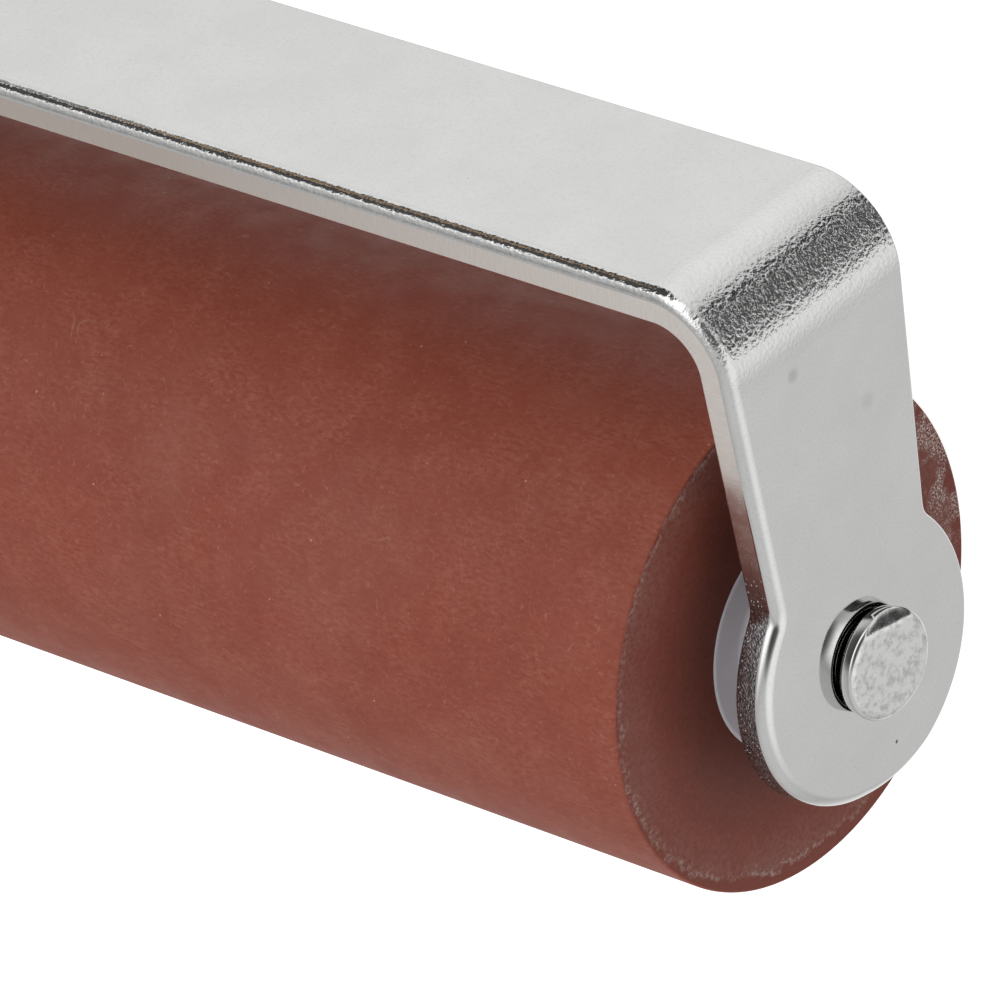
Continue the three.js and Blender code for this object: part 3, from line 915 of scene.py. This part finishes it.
def lock_nut():
    """A hexagon nut whose corners are cut back by the chamfer of its two faces."""
    bm = bmesh.new()
    inscribed = NUT_FLATS / 2
    sides = 120
    bottom = NUT_TOP - NUT_THICKNESS
    bore = STUD_RADIUS + 0.05
    countersink = 0.6

    def hexagon(angle):
        return inscribed / cos((angle + pi / 6) % (pi / 3) - pi / 6)

    def ring(radius_at, height_at):
        made = []
        for side in range(sides):
            a = 2 * pi * side / sides
            radius = radius_at(a)
            made.append(bm.verts.new((radius * cos(a), height_at(radius), radius * sin(a))))
        return made

    flat = inscribed - 0.2
    slope = 0.55
    rings = [
        ring(lambda a: bore, lambda r: bottom + countersink),
        ring(lambda a: bore + countersink, lambda r: bottom),
        ring(lambda a: flat, lambda r: bottom),
        ring(hexagon, lambda r: bottom + (r - flat) * slope),
        ring(hexagon, lambda r: NUT_TOP - (r - flat) * slope),
        ring(lambda a: flat, lambda r: NUT_TOP),
        ring(lambda a: bore + countersink, lambda r: NUT_TOP),
        ring(lambda a: bore, lambda r: NUT_TOP - countersink),
    ]
    for first, second in zip(rings, rings[1:] + rings[:1]):
        bridge(bm, first, second)
    place("lock_nut", finished(bm, "lock_nut", 25), [STEEL], "frame", ["lock_nut"])


# Handle


def ferrule_radius(along):
    share = (along - FERRULE_START) / (FERRULE_END - FERRULE_START)
    return FERRULE_FRONT + (FERRULE_BACK - FERRULE_FRONT) * share


def ferrule():
    start = FERRULE_START
    end = FERRULE_END
    corners = [
        (start, NECK_RADIUS + 0.05, 0),
        (start, FERRULE_FRONT, 1.2),
        (start + 3, ferrule_radius(start + 3), 0.3),
        (start + 3.5, ferrule_radius(start + 3) - FERRULE_GROOVE, 0.3),
        (start + 4.3, ferrule_radius(start + 4) - FERRULE_GROOVE, 0.3),
        (start + 4.8, ferrule_radius(start + 5), 0.3),
        (end - 1, ferrule_radius(end), 0.3),
        (end, FERRULE_BACK, 0.25),
        (end, FERRULE_BACK - FERRULE_WALL, 0),
        (start + FERRULE_WALL, FERRULE_FRONT - FERRULE_WALL, 0),
        (start + FERRULE_WALL, NECK_RADIUS + 0.05, 0),
    ]
    mesh = turned_mesh("ferrule", rounded(corners), AROUND_SMALL, "Y")
    place("ferrule", mesh, [NICKEL], "frame", ["ferrule"])


def ferrule_pin():
    """A pin through ferrule and tang, with a low domed end on each side."""
    bm = bmesh.new()
    reach = ferrule_radius(FERRULE_PIN_AT) + FERRULE_PIN_DOME
    dome = [
        (-reach, 0),
        (-reach + 0.05, FERRULE_PIN_RADIUS * 0.5),
        (-reach + FERRULE_PIN_DOME, FERRULE_PIN_RADIUS),
        (reach - FERRULE_PIN_DOME, FERRULE_PIN_RADIUS),
        (reach - 0.05, FERRULE_PIN_RADIUS * 0.5),
        (reach, 0),
    ]
    turned(bm, dome, 32, "X")
    bmesh.ops.rotate(bm, verts=bm.verts, matrix=Matrix.Rotation(pi / 2, 3, "Y"))
    bmesh.ops.translate(bm, verts=bm.verts, vec=(0, FERRULE_PIN_AT, 0))
    place("ferrule_pin", finished(bm, "ferrule_pin", 60), [STEEL], "frame", ["ferrule_pin"])


def bezier(start, first, second, end, steps):
    """Points of a cubic curve, without its first one."""
    points = []
    for step in range(1, steps + 1):
        t = step / steps
        u = 1 - t
        weights = (u**3, 3 * u * u * t, 3 * u * t * t, t**3)
        x = sum(w * p[0] for w, p in zip(weights, (start, first, second, end)))
        y = sum(w * p[1] for w, p in zip(weights, (start, first, second, end)))
        points.append((x, y))
    return points


def handle_grip():
    """A turned grip: a short peg in the ferrule, two waists with a belly between, and a flat-ended butt."""
    shoulder = FERRULE_END
    swell = (SWELL_AT, SWELL_RADIUS)
    peg = FERRULE_BACK - FERRULE_WALL - 0.05
    curves = [
        ((shoulder, FERRULE_BACK), (shoulder + 1, 11.6), (shoulder + 4, 11.2), (shoulder + 9, 10.4)),
        ((shoulder + 9, 10.4), (shoulder + 15, 9.6), (shoulder + 26, 14.2), (shoulder + 44, 14.2)),
        ((shoulder + 44, 14.2), (shoulder + 60, 14.2), (shoulder + 66, 12.2), (shoulder + 74, 12.2)),
        ((shoulder + 74, 12.2), (shoulder + 82, 12.2), (SWELL_AT - 8, SWELL_RADIUS), swell),
    ]
    centre = SWELL_RADIUS - BUTT_ROUND
    flat_angle = degrees(atan2(BUTT_FLAT - centre, sqrt(BUTT_ROUND**2 - (BUTT_FLAT - centre) ** 2)))
    profile = [(shoulder - 1, 0), (shoulder - 1, peg), (shoulder, peg), (shoulder, FERRULE_BACK)]
    for curve in curves:
        profile += bezier(*curve, 16)
    profile += arc((SWELL_AT, centre), BUTT_ROUND, 90, flat_angle, 20)[1:]
    profile.append((profile[-1][0], 0))
    mesh = turned_mesh("handle_grip", profile, AROUND_SMALL, "Y")
    place("handle_grip", mesh, [BEECH], "frame", ["handle_grip"])


rubber_sleeve()
core_tube()
end_bush("right_bush", 1)
end_bush("left_bush", -1)
axle_pin()
axle_cap()
frame_yoke()
tang_rod()
flat_washer()
spring_washer()
lock_nut()
ferrule()
ferrule_pin()
handle_grip()


# Stage


FLOOR_HALF = 40  # metres, so that its edge is never in sight
SHEET_DEPTH = 0.002


def flat_square(name, height, material):
    half = FLOOR_HALF
    corners = [(-half, -half, height), (half, -half, height), (half, half, height), (-half, half, height)]
    mesh = bpy.data.meshes.new(name)
    mesh.from_pydata(corners, [], [(0, 1, 2, 3)])
    piece = bpy.data.objects.new(name, mesh)
    bpy.context.scene.collection.objects.link(piece)
    mesh.materials.append(material)
    return piece


def add_floor():
    """A softly lit white floor. The tool mirrors the studio's dome instead of it, and the light that it
    throws back up comes from a darker sheet just below it."""
    material, _, shader = new_material("pale_floor")
    shader.inputs["Base Color"].default_value = (0.5, 0.5, 0.5, 1)
    shader.inputs["Emission Color"].default_value = (1, 1, 1, 1)
    shader.inputs["Emission Strength"].default_value = 0.95
    shader.inputs["Roughness"].default_value = 0.9
    shader.inputs["Specular IOR Level"].default_value = 0.1
    floor = flat_square("floor", 0, material)
    floor.visible_glossy = False
    floor.visible_diffuse = False
    floor.visible_shadow = False
    material, _, shader = new_material("grey_sheet")
    shader.inputs["Base Color"].default_value = (0.5, 0.5, 0.5, 1)
    shader.inputs["Roughness"].default_value = 0.9
    sheet = flat_square("grey_sheet", -SHEET_DEPTH, material)
    sheet.visible_glossy = False
    sheet.visible_camera = False


def heading(azimuth, elevation):
    """A direction in the room: azimuth from +X towards +Y, elevation above the bench, in degrees."""
    a, e = radians(azimuth), radians(elevation)
    return Vector((cos(a) * cos(e), sin(a) * cos(e), sin(e)))


DOME = 0.54
# Broad lights: azimuth, elevation, reach to where it fades out, brightness added at the middle
DOME_LIGHTS = [
    (120, 35, 62, 1.1),  # the main soft box, behind the crossbar and above it
    (120, -10, 62, 0.46),
    (0, -10, 62, 0.56),
    (-60, 35, 62, 0.16),
    (90, -60, 62, 0.13),
    (-112, -50, 50, 0.5),
]
# Gaps between the lights: azimuth, elevation, radius, softness, share of the light that is left
SIDE_GAP = (38, 26, 28, 14, 0.15)  # the unlit side where the photographer stands
BACK_GAP = (125, 2, 29, 5, 0.04)  # the dark room behind the crossbar, between the bench and the soft box
FRONT_GAP = (33, -36, 29, 4, 0.04)  # the dark room behind the camera, below the bench's edge
FRONT_WALL = (33, -36, 17, 5, 2.4)  # a paler wall far back in that room
FRONT_GAP_TOP = -26
TOP_GAP = (162, 47, 22, 8, 0.4)  # beside the main soft box


def add_world():
    """The studio: a plain dome with broad soft lights and the dark gaps between them."""
    world = bpy.data.worlds.new("studio")
    world.use_nodes = True
    tree = world.node_tree
    coordinates = tree.nodes.new("ShaderNodeTexCoord")

    def patch(azimuth, elevation, outer, inner, outside, inside):
        """A round patch of the dome, which fades between two angles from its middle."""
        dot = tree.nodes.new("ShaderNodeVectorMath")
        dot.operation = "DOT_PRODUCT"
        tree.links.new(coordinates.outputs["Generated"], dot.inputs[0])
        dot.inputs[1].default_value = heading(azimuth, elevation)
        fade = tree.nodes.new("ShaderNodeMapRange")
        fade.interpolation_type = "SMOOTHSTEP"
        tree.links.new(dot.outputs["Value"], fade.inputs["Value"])
        fade.inputs["From Min"].default_value = cos(radians(outer))
        fade.inputs["From Max"].default_value = cos(radians(inner))
        fade.inputs["To Min"].default_value = outside
        fade.inputs["To Max"].default_value = inside
        return fade.outputs[0]

    def combined(operation, first, second):
        node = tree.nodes.new("ShaderNodeMath")
        node.operation = operation
        node.inputs[0].default_value = DOME
        if first:
            tree.links.new(first, node.inputs[0])
        tree.links.new(second, node.inputs[1])
        return node.outputs[0]

    def gap(azimuth, elevation, radius, softness, left):
        return patch(azimuth, elevation, radius + softness, radius - softness, 1, left)

    brightness = None
    for azimuth, elevation, reach, added in DOME_LIGHTS:
        brightness = combined("ADD", brightness, patch(azimuth, elevation, reach, 0, 0, added))
    above = gap(0, -90, 90 + FRONT_GAP_TOP, 4, 0)
    front = combined("MAXIMUM", above, combined("MULTIPLY", gap(*FRONT_GAP), gap(*FRONT_WALL)))
    for one in (gap(*SIDE_GAP), gap(*BACK_GAP), gap(*TOP_GAP), front):
        brightness = combined("MULTIPLY", brightness, one)
    tree.links.new(brightness, tree.nodes["Background"].inputs["Strength"])
    tree.nodes["Background"].inputs["Color"].default_value = (1, 1, 1, 1)
    bpy.context.scene.world = world


add_floor()
add_world()
bpy.context.scene.view_settings.view_transform = "Standard"
